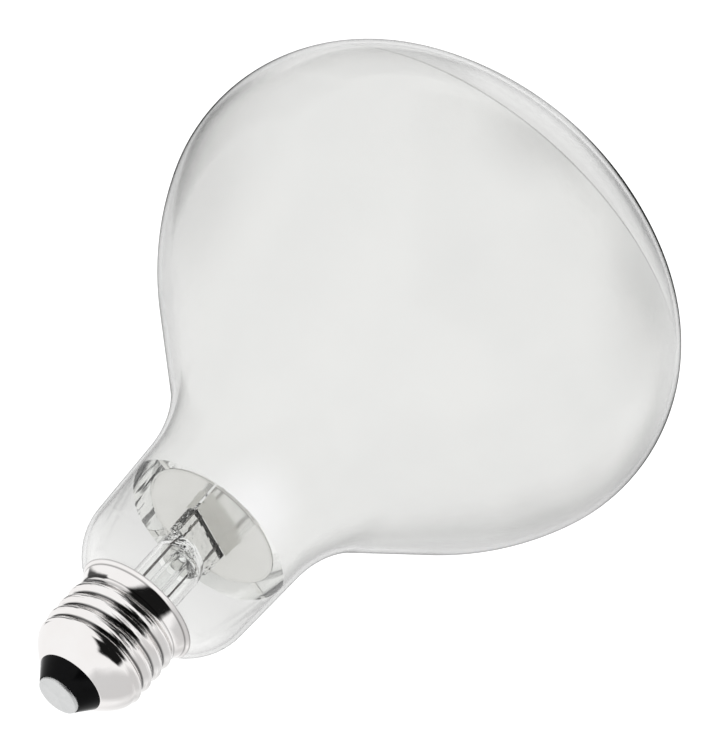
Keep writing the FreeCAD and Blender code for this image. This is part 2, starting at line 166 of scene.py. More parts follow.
class Graph:
    """A node tree with one method that adds any node."""

    def __init__(self, tree: bpy.types.NodeTree) -> None:
        """Hold the tree."""
        self.tree = tree

    def add(
        self,
        kind: str,
        settings: Optional[dict[str, object]] = None,
        sockets: Optional[dict[Union[str, int], Socketed]] = None,
    ) -> Node:
        """Add a node, set its settings and then feed its sockets.

        Args:
            kind: the node's type.
            settings: properties of the node by name.
            sockets: values or links by input name or number.

        Returns:
            The new node.
        """
        node = self.tree.nodes.new(kind)
        for name, setting in (settings or {}).items():
            setattr(node, name, setting)
        for key, item in (sockets or {}).items():
            self.feed(node.inputs[key], item)
        return node

    def feed(self, socket: Socket, item: Socketed) -> None:
        """Link an output to a socket, or set the socket's own value.

        Args:
            socket: the input to feed.
            item: a value, an output, a material, a number or a colour.
        """
        source = item.socket if isinstance(item, Value) else item
        if isinstance(source, Socket):
            self.tree.links.new(source, socket)
        elif socket.type == "RGBA":
            socket.default_value = (*source, 1.0)
        else:
            socket.default_value = source

    def maths(self, op: Op, *operands: Socketed) -> Value:
        """Result of an operation on its operands, in order."""
        node = self.add("ShaderNodeMath", {"operation": op.value}, dict(enumerate(operands)))
        return Value(self, node.outputs[0])

    def split(self, vector: Socket) -> list[Value]:
        """The three numbers of a vector."""
        node = self.add("ShaderNodeSeparateXYZ", sockets={0: vector})
        return [Value(self, output) for output in node.outputs]

    def join(self, x: Socketed, y: Socketed, z: Socketed) -> Socket:
        """A vector of three numbers."""
        return self.add("ShaderNodeCombineXYZ", sockets={0: x, 1: y, 2: z}).outputs[0]

    def places(self, stretch: Triple = (1.0, 1.0, 1.0)) -> Socket:
        """Object coordinates in metres, stretched for a pattern that runs one way."""
        coordinates = self.add("ShaderNodeTexCoord").outputs["Object"]
        return self.add("ShaderNodeMapping", sockets={"Vector": coordinates, "Scale": stretch}).outputs[0]

    def noise(self, places: Socket, per_metre: float, detail: Detail = Detail.PLAIN) -> Value:
        """Cloudy pattern from 0 to 1 that follows coordinates, with so many blobs in a metre."""
        sockets = {"Vector": places, "Scale": per_metre, "Detail": detail.value}
        return Value(self, self.add("ShaderNodeTexNoise", sockets=sockets).outputs[0])

    def blend(self, share: Socketed, first: Socketed, second: Socketed) -> Socket:
        """First colour with a share of the second mixed in."""
        node = self.add("ShaderNodeMix", {"data_type": "RGBA"}, {0: share, 6: first, 7: second})
        return node.outputs[2]

    def bump(self, height: Value, distance: float) -> Socket:
        """Normal of a surface with hills, whose height is a share of a distance in metres."""
        sockets = {"Strength": 1.0, "Distance": distance, "Height": height}
        return self.add("ShaderNodeBump", sockets=sockets).outputs[0]

    def facing_out(self) -> Value:
        """Tell the two sides of a turned wall apart.

        Returns:
            1 on faces that look away from the axis, and 0 on faces that look towards it.
        """
        surface = self.add("ShaderNodeNewGeometry")
        flat = self.add("ShaderNodeVectorMath", {"operation": "MULTIPLY"}, {
            0: surface.outputs["Position"],
            1: (1.0, 1.0, 0.0),
        }).outputs[0]
        away = self.add("ShaderNodeVectorMath", {"operation": "DOT_PRODUCT"}, {
            0: flat,
            1: surface.outputs["Normal"],
        }).outputs["Value"]
        return self.maths(Op.OVER, away, 0.0)

    def attribute(self, name: str) -> Value:
        """A number stored on the mesh."""
        return Value(self, self.add("ShaderNodeAttribute", {"attribute_name": name}).outputs["Fac"])

    def ray(self, kind: Ray) -> Value:
        """1 for rays of a kind, and 0 for the rest."""
        return Value(self, self.add("ShaderNodeLightPath").outputs[kind.value])

    def backdrop_rays(self) -> Value:
        """1 for rays that show the white backdrop, and 0 for rays that light the object."""
        return (self.ray(Ray.CAMERA) + self.ray(Ray.GLOSSY) + self.ray(Ray.TRANSMISSION)).clamped()


class Recipe:
    """A Geometry Nodes tree with named inputs, turned into one plain mesh."""

    def __init__(self, name: str, sizes: dict[str, float]) -> None:
        """Start the tree.

        Args:
            name: name of the piece.
            sizes: named inputs, in metres, turns or counts.
        """
        self.name = name
        self.sizes = sizes
        self.tree = bpy.data.node_groups.new(name, "GeometryNodeTree")
        self.graph = Graph(self.tree)
        face = self.tree.interface
        self.sockets = {
            label: face.new_socket(label, in_out="INPUT", socket_type="NodeSocketFloat") for label in sizes
        }
        face.new_socket("Mesh", in_out="OUTPUT", socket_type="NodeSocketGeometry")
        self.inputs = self.graph.add("NodeGroupInput")

    def size(self, label: str) -> Value:
        """A named input."""
        return Value(self.graph, self.inputs.outputs[label])

    def shape(self, flat: Socket, place: Socket) -> Socket:
        """Geometry with every point moved to its place."""
        sockets = {"Geometry": flat, "Position": place}
        return self.graph.add("GeometryNodeSetPosition", sockets=sockets).outputs[0]

    def mark(self, geometry: Socket, name: str, number: Value) -> Socket:
        """Geometry with a number stored on every point."""
        sockets = {"Geometry": geometry, "Name": name, "Value": number}
        return self.graph.add("GeometryNodeStoreNamedAttribute", sockets=sockets).outputs[0]

    def piece(self, geometry: Socket, material: bpy.types.Material) -> Piece:
        """Close the tree and turn its result into a plain mesh object.

        Args:
            geometry: the finished geometry.
            material: what it is made of.

        Returns:
            An object at the origin with no modifier.
        """
        real = self.graph.add("GeometryNodeRealizeInstances", sockets={"Geometry": geometry}).outputs[0]
        sockets = {"Geometry": real, "Material": material}
        painted = self.graph.add("GeometryNodeSetMaterial", sockets=sockets).outputs[0]
        self.graph.add("NodeGroupOutput", sockets={0: painted})
        blank = new_object(self.name + "_blank", bpy.data.meshes.new(self.name + "_blank"))
        modifier = blank.modifiers.new("recipe", "NODES")
        modifier.node_group = self.tree
        for label, size in self.sizes.items():
            modifier[self.sockets[label].identifier] = size
        evaluated = blank.evaluated_get(bpy.context.evaluated_depsgraph_get())
        mesh = bpy.data.meshes.new_from_object(evaluated)
        mesh.name = self.name
        bpy.data.objects.remove(blank)
        return new_object(self.name, mesh)


@dataclass(frozen=True)
class Finish:
    """What a surface is made of; a kind of finish adds its own shader."""

    name: str

    def shade(self, graph: Graph) -> Node:
        """Build the shader node of this finish."""
        raise NotImplementedError

    def material(self) -> bpy.types.Material:
        """Make the material.

        Returns:
            A material with the finish's node tree.
        """
        material = bpy.data.materials.new(self.name)
        material.use_nodes = True
        material.node_tree.nodes.clear()
        graph = Graph(material.node_tree)
        shader = self.shade(graph)
        graph.add("ShaderNodeOutputMaterial", sockets={"Surface": shader.outputs[0]})
        return material


@dataclass(frozen=True)
class Patch:
    """A round place on a piece where painted highlights and reflections change its colour; sizes in metres.
    """

    centre: Triple
    reach: float
    share: float

    def near(self, graph: Graph) -> Value:
        """How strong the patch is at a point, fading with the distance from its centre.

        Args:
            graph: the material's tree.

        Returns:
            The patch's share at its centre, and 0 beyond its reach.
        """
        ends = {0: graph.places(), 1: self.centre}
        node = graph.add("ShaderNodeVectorMath", {"operation": "DISTANCE"}, ends)
        near = (1.0 - Value(graph, node.outputs["Value"]) / self.reach).clamped()
        return near.eased() * self.share


@dataclass(frozen=True)
class BlownGlass(Finish):
    """Clear glass with the slow waves of blown or drawn work, darker edges that are partly absorption and
    partly painted dark reflection, painted highlights and a trace of handling.
    """

    tint: Colour = (1.0, 1.0, 1.0)
    # colour of the dark body at the edges: partly the glass's absorption, partly painted dark reflection
    edge_tint: Colour = (0.02, 0.022, 0.02)
    edge_share: float = 1.0
    edge_power: float = 12.0
    # patches of painted dark reflection that darken the edges further
    painted_dark_edges: tuple[Patch, ...] = ()
    waves_per_metre: float = 30.0
    wave_height: float = 4e-5
    smear_per_metre: float = 60.0
    smear_stretch: Triple = (1.0, 1.0, 0.4)
    roughest: float = 0.03
    shine: Colour = (1.0, 1.0, 1.0)
    # patches of painted highlight where the tint goes to white
    painted_glass_highlights: tuple[Patch, ...] = ()

    def colour(self, graph: Graph) -> Socketed:
        """The tint, blended to white at the patches of painted highlight.

        Args:
            graph: the material's tree.

        Returns:
            The glass's colour.
        """
        colour = self.tint
        # painted highlight: the tint is blended to white at these patches
        for place in self.painted_glass_highlights:
            colour = graph.blend(place.near(graph), colour, WHITE)
        return colour

    def relief(self, graph: Graph) -> Value:
        """Height of the waves, as a share of their full height."""
        return graph.noise(graph.places(), self.waves_per_metre, Detail.SMOOTH)

    def edge(self, graph: Graph) -> Value:
        """How dark the glass is: most where it is seen edge-on, partly as absorption and partly as painted
        dark reflection, and more at the patches of painted dark reflection.

        Args:
            graph: the material's tree.

        Returns:
            The share of the dark body, from 0 to 1.
        """
        slant = graph.add("ShaderNodeLayerWeight").outputs["Facing"]
        steep = graph.maths(Op.POWER, slant, self.edge_power)
        share = steep * self.edge_share
        # more painted dark reflection at these patches along the outline
        for place in self.painted_dark_edges:
            share = share + steep * place.near(graph)
        return share.clamped()

    def shade(self, graph: Graph) -> Node:
        """Refracting shader with wavy normals and uneven gloss, over a dark body at its edges that is partly
        absorption and partly painted dark reflection.

        Args:
            graph: the material's tree.

        Returns:
            The finished shader node.
        """
        smear = graph.noise(graph.places(self.smear_stretch), self.smear_per_metre, Detail.FINE)
        clear = graph.add("ShaderNodeBsdfPrincipled", sockets={
            "Base Color": self.colour(graph),
            "Roughness": (smear * 2.0 - 1.0).clamped() * self.roughest,
            "IOR": GLASS_IOR,
            "Specular Tint": self.shine,
            "Transmission Weight": 1.0,
            "Normal": graph.bump(self.relief(graph), self.wave_height),
        }).outputs[0]
        # dark body mixed in at grazing angles: partly the glass's absorption, partly painted dark reflection
        dark = graph.add("ShaderNodeBsdfPrincipled", sockets={
            "Base Color": self.edge_tint,
            "Roughness": 1.0,
            "Specular IOR Level": 0.0,
        }).outputs[0]
        return graph.add("ShaderNodeMixShader", sockets={0: self.edge(graph), 1: clear, 2: dark})


@dataclass(frozen=True)
class PressedGlass(BlownGlass):
    """Drawn glass whose end was pinched flat by jaws that left it creased."""

    pinch_top: float = 0.0
    pinch_run: float = 0.004
    creases_per_metre: float = 650.0
    crease_share: float = 6.0

    def relief(self, graph: Graph) -> Value:
        """Waves all over, and deep facets below the top of the pinch.

        Args:
            graph: the material's tree.

        Returns:
            Height of the waves and facets, as a share of the waves' full height.
        """
        _, _, z = graph.split(graph.places())
        sockets = {"Vector": graph.places(), "Scale": self.creases_per_metre}
        facets = Value(graph, graph.add("ShaderNodeTexVoronoi", sockets=sockets).outputs["Distance"])
        pinched = ((self.pinch_top - z) / self.pinch_run).clamped()
        return super().relief(graph) + facets * pinched * self.crease_share


@dataclass(frozen=True)
class Metal(Finish):
    """Metal with two shades of colour in soft clouds, uneven gloss and fine grain."""

    light: Colour = (0.85, 0.85, 0.85)
    dark: Colour = (0.75, 0.75, 0.75)
    clouds_per_metre: float = 60.0
    smoothest: float = 0.1
    roughest: float = 0.2
    gloss_per_metre: float = 300.0
    stretch: Triple = (1.0, 1.0, 1.0)
    grain_per_metre: float = 1500.0
    grain_height: float = 2e-6

    def colour(self, graph: Graph) -> Socket:
        """Soft clouds of the two shades."""
        clouds = graph.noise(graph.places(), self.clouds_per_metre, Detail.SOFT)
        return graph.blend(clouds, self.light, self.dark)

    def relief(self, graph: Graph) -> Value:
        """Height of the grain, as a share of its full height."""
        return graph.noise(graph.places(self.stretch), self.grain_per_metre)

    def shade(self, graph: Graph) -> Node:
        """Metallic shader with clouded colour, uneven gloss and grain.

        Args:
            graph: the material's tree.

        Returns:
            The finished shader node.
        """
        gloss = graph.noise(graph.places(self.stretch), self.gloss_per_metre, Detail.FINE)
        return graph.add("ShaderNodeBsdfPrincipled", sockets={
            "Base Color": self.colour(graph),
            "Metallic": 1.0,
            "Roughness": gloss.between(self.smoothest, self.roughest),
            "Normal": graph.bump(self.relief(graph), self.grain_height),
        })


@dataclass(frozen=True)
class RolledPlate(Metal):
    """Plated sheet with rolling marks along its thread and painted shade in its grooves and creases."""

    # near-black of the painted shade in the grooves and creases
    painted_shade: Colour = (0.02, 0.02, 0.02)
    marks_per_metre: float = 1300.0
    marks_stretch: Triple = (0.035, 0.035, 1.0)
    marks_share: float = 95.0

    def colour(self, graph: Graph) -> Socket:
        """Clouds of the two shades, dark with painted shade in the grooves and creases."""
        return graph.blend(graph.attribute(PAINTED_SHADE_ATTRIBUTE), super().colour(graph), self.painted_shade)

    def relief(self, graph: Graph) -> Value:
        """Grain all over, and marks that run round the thread."""
        marks = graph.noise(graph.places(self.marks_stretch), self.marks_per_metre, Detail.FINE)
        return super().relief(graph) + marks * graph.attribute(ROLLED) * self.marks_share


@dataclass(frozen=True)
class MirrorFilm(Finish):
    """Metal film in a bulb: satin where it lies on the glass and bright on its open side."""

    light: Colour = (0.985, 0.985, 0.975)
    dark: Colour = (0.91, 0.915, 0.91)
    clouds_per_metre: float = 40.0
    satin: float = 0.22
    bright: float = 0.06
    waves_per_metre: float = 60.0
    wave_stretch: Triple = (1.0, 1.0, 0.5)
    wave_height: float = 4e-5
    face_waves: float = 3.0
    uneven_gloss: float = 0.06
    edge: Colour = (0.5, 0.5, 0.49)
    edge_z: float = 0.0
    edge_width: float = 0.0007
    # patches of painted highlight, white on the film's back
    painted_film_highlights: tuple[Patch, ...] = ()
    # patches of painted grey reflection on the film's back, in this grey
    painted_grey_reflections: tuple[Patch, ...] = ()
    reflection_grey: Colour = (0.7, 0.7, 0.695)
    # patches of painted dark stripes of reflection on the film's face, in this near-black
    painted_dark_stripes: tuple[Patch, ...] = ()
    streak: Colour = (0.004, 0.004, 0.004)
    streaks_per_metre: float = 640.0
    streak_stretch: Triple = (1.0, 1.0, 0.2)
    streak_start: float = 0.5
    streak_contrast: float = 12.0

    def colour(self, graph: Graph, back: Value) -> Socket:
        """Clouds of two shades, with patches of painted highlight and painted grey reflection on the back
        and painted dark stripes of reflection on the face.

        Args:
            graph: the material's tree.
            back: 1 on the side that lies on the glass.

        Returns:
            The film's colour away from its front edge.
        """
        clouds = graph.noise(graph.places(), self.clouds_per_metre, Detail.SOFT)
        colour = graph.blend(clouds, self.light, self.dark)
        # painted highlights on the film's back
        for place in self.painted_film_highlights:
            colour = graph.blend(place.near(graph) * back, colour, WHITE)
        # painted grey reflections on the film's back
        for place in self.painted_grey_reflections:
            colour = graph.blend(place.near(graph) * back, colour, self.reflection_grey)
        # painted dark stripes of reflection on the film's face
        marks = graph.noise(graph.places(self.streak_stretch), self.streaks_per_metre)
        streaks = ((marks - self.streak_start) * self.streak_contrast).clamped()
        for place in self.painted_dark_stripes:
            colour = graph.blend(streaks * place.near(graph) * (1.0 - back), colour, self.streak)
        return colour

    def shade(self, graph: Graph) -> Node:
        """Metallic shader with clouded colour, a darker front edge, a satin back and a bright, wavier face.

        Args:
            graph: the material's tree.

        Returns:
            The finished shader node.
        """
        _, _, z = graph.split(graph.places())
        at_edge = (1.0 - (z - self.edge_z) / self.edge_width).clamped()
        waves = graph.noise(graph.places(self.wave_stretch), self.waves_per_metre, Detail.SMOOTH)
        back = graph.facing_out()
        return graph.add("ShaderNodeBsdfPrincipled", sockets={
            "Base Color": graph.blend(at_edge, self.colour(graph, back), self.edge),
            "Metallic": 1.0,
            "Roughness": back.between(self.bright, self.satin) + waves * self.uneven_gloss,
            "Normal": graph.bump(waves * back.between(self.face_waves, 1.0), self.wave_height),
        })


@dataclass(frozen=True)
class Glaze(Finish):
    """Opaque glossy body with specks and slow waves in the gloss."""

    light: Colour = (0.004, 0.004, 0.0045)
    dark: Colour = (0.001, 0.001, 0.001)
    specks_per_metre: float = 900.0
    waves_per_metre: float = 300.0
    smoothest: float = 0.05
    roughest: float = 0.2
    shine: float = 0.06
    wave_height: float = 8e-6

    def shade(self, graph: Graph) -> Node:
        """Glossy shader with specks, uneven gloss and waves.

        Args:
            graph: the material's tree.

        Returns:
            The finished shader node.
        """
        specks = graph.noise(graph.places(), self.specks_per_metre, Detail.SOFT)
        waves = graph.noise(graph.places(), self.waves_per_metre, Detail.SMOOTH)
        return graph.add("ShaderNodeBsdfPrincipled", sockets={
            "Base Color": graph.blend(specks, self.dark, self.light),
            "Roughness": waves.between(self.smoothest, self.roughest),
            "Specular IOR Level": self.shine,
            "Normal": graph.bump(waves, self.wave_height),
        })


@dataclass(frozen=True)
class Grit(Finish):
    """Dull mineral body with grains."""

    light: Colour = (0.78, 0.75, 0.68)
    dark: Colour = (0.58, 0.55, 0.48)
    grains_per_metre: float = 2500.0
    grain_height: float = 6e-5
    smoothest: float = 0.7
    roughest: float = 0.95

    def shade(self, graph: Graph) -> Node:
        """Rough shader with grains of two shades.

        Args:
            graph: the material's tree.

        Returns:
            The finished shader node.
        """
        grains = graph.noise(graph.places(), self.grains_per_metre, Detail.FINE)
        return graph.add("ShaderNodeBsdfPrincipled", sockets={
            "Base Color": graph.blend(grains, self.dark, self.light),
            "Roughness": grains.between(self.smoothest, self.roughest),
            "Normal": graph.bump(grains, self.grain_height),
        })


@dataclass(frozen=True)
class PaleFloor(Finish):
    """White floor that stays white behind the object, keeps its shadow and is clear from below."""

    shade_of_white: float = 0.9
    mottles_per_metre: float = 2.0
    mottle: float = 0.01
    lift: float = 0.25

    def shade(self, graph: Graph) -> Node:
        """Dull white, lifted to full white where the camera sees it.

        Args:
            graph: the material's tree.

        Returns:
            The finished shader node.
        """
        clouds = graph.noise(graph.places(), self.mottles_per_metre)
        mottle = clouds.between(1.0 - self.mottle, 1.0) * self.shade_of_white
        white = graph.add("ShaderNodeBsdfPrincipled", sockets={
            "Base Color": graph.join(mottle, mottle, mottle),
            "Roughness": 1.0,
            "Specular IOR Level": 0.0,
        }).outputs[0]
        glow = graph.add("ShaderNodeEmission", sockets={"Strength": self.lift}).outputs[0]
        lifted = graph.add("ShaderNodeAddShader", sockets={0: white, 1: glow}).outputs[0]
        to_camera = graph.ray(Ray.CAMERA)
        top = graph.add("ShaderNodeMixShader", sockets={0: to_camera, 1: white, 2: lifted}).outputs[0]
        below = graph.add("ShaderNodeNewGeometry").outputs["Backfacing"]
        clear = graph.add("ShaderNodeBsdfTransparent").outputs[0]
        return graph.add("ShaderNodeMixShader", sockets={0: below, 1: top, 2: clear})


@dataclass(frozen=True)
class CardPaper(Finish):
    """Paper of a reflector card that fades out towards its edges."""

    tone: float
    width: float
    height: float
    fade: float
    waves_per_metre: float = 3.0
    waviness: float = 0.6

    def shade(self, graph: Graph) -> Node:
        """Glow of an even tone, which the lamps don't change, over nothing at its wavy edges.

        Args:
            graph: the material's tree.

        Returns:
            The finished shader node.
        """
        u, v, _ = graph.split(graph.add("ShaderNodeUVMap", {"uv_map": CARD_UV}).outputs[0])
        from_side = graph.maths(Op.MINIMUM, u, 1.0 - u) * self.width
        from_end = graph.maths(Op.MINIMUM, v, 1.0 - v) * self.height
        waves = graph.noise(graph.places(), self.waves_per_metre) * self.waviness
        share = (graph.maths(Op.MINIMUM, from_side, from_end) / self.fade - waves).clamped()
        clear = graph.add("ShaderNodeBsdfTransparent").outputs[0]
        glow = graph.add("ShaderNodeEmission", sockets={"Strength": self.tone}).outputs[0]
        return graph.add("ShaderNodeMixShader", sockets={0: share.eased(), 1: clear, 2: glow})


# painted highlight: a white glow along the film's edge at the neck, laid on the glass and the film
PAINTED_NECK_HIGHLIGHT = Patch((-0.0045, -0.0203, -0.054), 0.016, 1.0)
BULB_GLASS = BlownGlass(
    "bulb_glass",
    tint=(0.955, 0.955, 0.95),
    wave_height=6e-6,
    shine=(0.3, 0.3, 0.3),
    painted_glass_highlights=(PAINTED_NECK_HIGHLIGHT,),
    # painted dark reflection along the bulb's outline
    painted_dark_edges=(
        Patch((0.062, -0.003, -0.130), 0.038, 1.8),
        Patch((-0.058, -0.012, -0.143), 0.03, 1.5),
        Patch((-0.027, -0.035, -0.169), 0.035, 4.5),
    ),
)
MIRROR_FILM = MirrorFilm(
    "mirror_film",
    painted_film_highlights=(PAINTED_NECK_HIGHLIGHT,),
    # painted grey reflections on the film's back
    painted_grey_reflections=(
        Patch((0.005, -0.0599, -0.1437), 0.016, 0.43),
        Patch((-0.0387, -0.0454, -0.1451), 0.027, 0.75),
        Patch((0.052, -0.012, -0.1095), 0.032, 0.6),
    ),
    # painted dark stripes of reflection on the film's face at the neck
    painted_dark_stripes=(Patch((0.0165, 0.0125, -0.058), 0.018, 1.0),),
)
TUBE_GLASS = BlownGlass("tube_glass", tint=(0.99, 0.995, 0.99), waves_per_metre=250.0, wave_height=3e-5)
CAP_PLATE = RolledPlate(
    "cap_plate",
    light=(0.94, 0.935, 0.93),
    dark=(0.86, 0.82, 0.805),
    clouds_per_metre=110.0,
    smoothest=0.03,
    roughest=0.11,
    gloss_per_metre=220.0,
    stretch=(1.0, 1.0, 6.0),
    grain_per_metre=900.0,
    grain_height=3e-6,
)
BLACK_GLASS = Glaze("black_glass")
SOLDER = Metal(
    "solder",
    light=(0.80, 0.80, 0.80),
    dark=(0.66, 0.67, 0.67),
    clouds_per_metre=350.0,
    smoothest=0.42,
    roughest=0.62,
    gloss_per_metre=900.0,
    grain_per_metre=2500.0,
    grain_height=1.2e-5,
)
BRASS = Metal("eyelet_brass", light=(0.80, 0.62, 0.30), dark=(0.62, 0.45, 0.20))
CEMENT = Grit("cement")
SHIELD_SHEET = Metal(
    "shield_sheet",
    light=(0.80, 0.80, 0.78),
    dark=(0.68, 0.675, 0.65),
    smoothest=0.08,
    roughest=0.3,
    gloss_per_metre=120.0,
    stretch=(4.0, 0.6, 1.0),
    grain_per_metre=70.0,
    grain_height=1.2e-4,
)
COPPER = Metal(
    "copper_wire", light=(0.06, 0.045, 0.04), dark=(0.02, 0.016, 0.014), smoothest=0.2, roughest=0.35
)
NICKEL = replace(COPPER, name="nickel_wire", light=(0.62, 0.60, 0.57), dark=(0.42, 0.40, 0.38))
TUNGSTEN = Metal("tungsten", light=(0.42, 0.42, 0.43), dark=(0.24, 0.24, 0.25), smoothest=0.25, roughest=0.4)
MOLYBDENUM = replace(TUNGSTEN, name="molybdenum_wire", light=(0.50, 0.50, 0.51), dark=(0.34, 0.34, 0.35))


def new_object(name: str, mesh: bpy.types.Mesh) -> Piece:
    """Put an object with this mesh in the scene, at the origin.

    Args:
        name: name of the object.
        mesh: its mesh.

    Returns:
        The new object.
    """
    made = bpy.data.objects.new(name, mesh)
    bpy.context.scene.collection.objects.link(made)
    return made


def smooth(piece: Piece, crease: float = 35.0) -> Piece:
    """Weld a closed mesh, turn its faces outwards and shade it smooth up to an angle.

    Args:
        piece: the object.
        crease: the angle in degrees from which an edge is sharp.

    Returns:
        The same object.
    """
    body = bmesh.new()
    body.from_mesh(piece.data)
    bmesh.ops.remove_doubles(body, verts=body.verts, dist=WELD)
    bmesh.ops.recalc_face_normals(body, faces=body.faces)
    body.to_mesh(piece.data)
    body.free()
    piece.data.polygons.foreach_set("use_smooth", [True] * len(piece.data.polygons))
    piece.data.set_sharp_from_angle(angle=math.radians(crease))
    return piece


def lathe(
    name: str, finish: Finish, outline: Sequence[RingPoint], closed: bool = False, segments: int = 192
) -> Piece:
    """Turn an outline about the axis; a point on the axis becomes a pole.

    Args:
        name: name of the piece.
        finish: what it is made of.
        outline: radius and depth of each point, in mm.
        closed: whether the last point joins the first.
        segments: sides of each ring.

    Returns:
        The turned object, smooth and closed.
    """
    body = bmesh.new()
    rings = []
    for r, depth in outline:
        count = 1 if r < WELD else segments
        turns = [2.0 * math.pi * index / segments for index in range(count)]
        places = [(r * math.cos(turn) * MM, r * math.sin(turn) * MM, -depth * MM) for turn in turns]
        rings.append([body.verts.new(place) for place in places])
    pairs = list(zip(rings, rings[1:]))
    if closed:
        pairs.append((rings[-1], rings[0]))
    for upper, lower in pairs:
        for index in range(segments):
            after = (index + 1) % segments
            corners = [upper[index % len(upper)], upper[after % len(upper)]]
            corners += [lower[after % len(lower)], lower[index % len(lower)]]
            body.faces.new(list(dict.fromkeys(corners)))
    mesh = bpy.data.meshes.new(name)
    body.to_mesh(mesh)
    body.free()
    mesh.materials.append(finish.material())
    return smooth(new_object(name, mesh))


def rounded(corners: Sequence[Triple], arc_points: int = 7) -> list[RingPoint]:
    """Outline of straight runs whose inner corners are rounded.

    Args:
        corners: radius, depth and rounding of each corner, in mm; the first and the last stay sharp.
        arc_points: points on each rounding.

    Returns:
        The outline's points.
    """
    points = [Vector(corners[0][:2])]
    for before, corner, after in zip(corners, corners[1:], corners[2:]):
        middle = Vector(corner[:2])
        back = (Vector(before[:2]) - middle).normalized()
        ahead = (Vector(after[:2]) - middle).normalized()
        half = back.angle(ahead) / 2.0
        reach = corner[2] / math.tan(half)
        centre = middle + (back + ahead).normalized() * corner[2] / math.sin(half)
        start = middle + back * reach - centre
        end = middle + ahead * reach - centre
        for index in range(arc_points):
            share = index / (arc_points - 1)
            points.append(centre + start.slerp(end, share) * corner[2] if corner[2] else middle)
    points.append(Vector(corners[-1][:2]))
    return [(point.x, point.y) for point in points]


def hand_in(piece: Piece, node: str) -> None:
    """Let a piece stand for a solid of the frame.

    Args:
        piece: the finished piece.
        node: the solid that it replaces.
    """
    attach(piece, BODY)
    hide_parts(node)
    LOG.info("%s replaces %s with %d faces", piece.name, node, len(piece.data.polygons))


def dress(nodes: Sequence[str], finish: Finish) -> None:
    """Give solids of the frame their finish.

    Args:
        nodes: names of the solids.
        finish: what they are made of.
    """
    material = finish.material()
    for node in nodes:
        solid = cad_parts[node]
        if not solid.material_slots:
            solid.data.materials.append(material)
        for slot in solid.material_slots:
            slot.material = material
        LOG.info("%s is dressed in %s", node, finish.name)


@dataclass
class Outline:
    """Path of tangent lines and arcs in the plane of radius and depth, set in from its own line."""

    r: float
    depth: float
    inset: float
    step: float
    heading: float = 0.0
    points: list[RingPoint] = field(default_factory=list)

    def mark(self) -> None:
        """Keep the present point, set in square to the heading."""
        turn = math.radians(self.heading)
        self.points.append((self.r - self.inset * math.cos(turn), self.depth + self.inset * math.sin(turn)))

    def line(self, length: float) -> None:
        """Straight run on the present heading.

        Args:
            length: its length in mm.
        """
        turn = math.radians(self.heading)
        count = math.ceil(length / self.step)
        for _ in range(count):
            self.r += length / count * math.sin(turn)
            self.depth += length / count * math.cos(turn)
            self.mark()

    def arc(self, radius: float, heading: float) -> None:
        """Arc that sets off on the present heading.

        Args:
            radius: its radius in mm.
            heading: the heading at its end, in degrees.
        """
        sweep = heading - self.heading
        count = math.ceil(abs(math.radians(sweep)) * radius / self.step) + 2
        side = math.copysign(radius, sweep)
        for _ in range(count):
            old = math.radians(self.heading)
            self.heading += sweep / count
            new = math.radians(self.heading)
            self.r -= side * (math.cos(new) - math.cos(old))
            self.depth += side * (math.sin(new) - math.sin(old))
            self.mark()


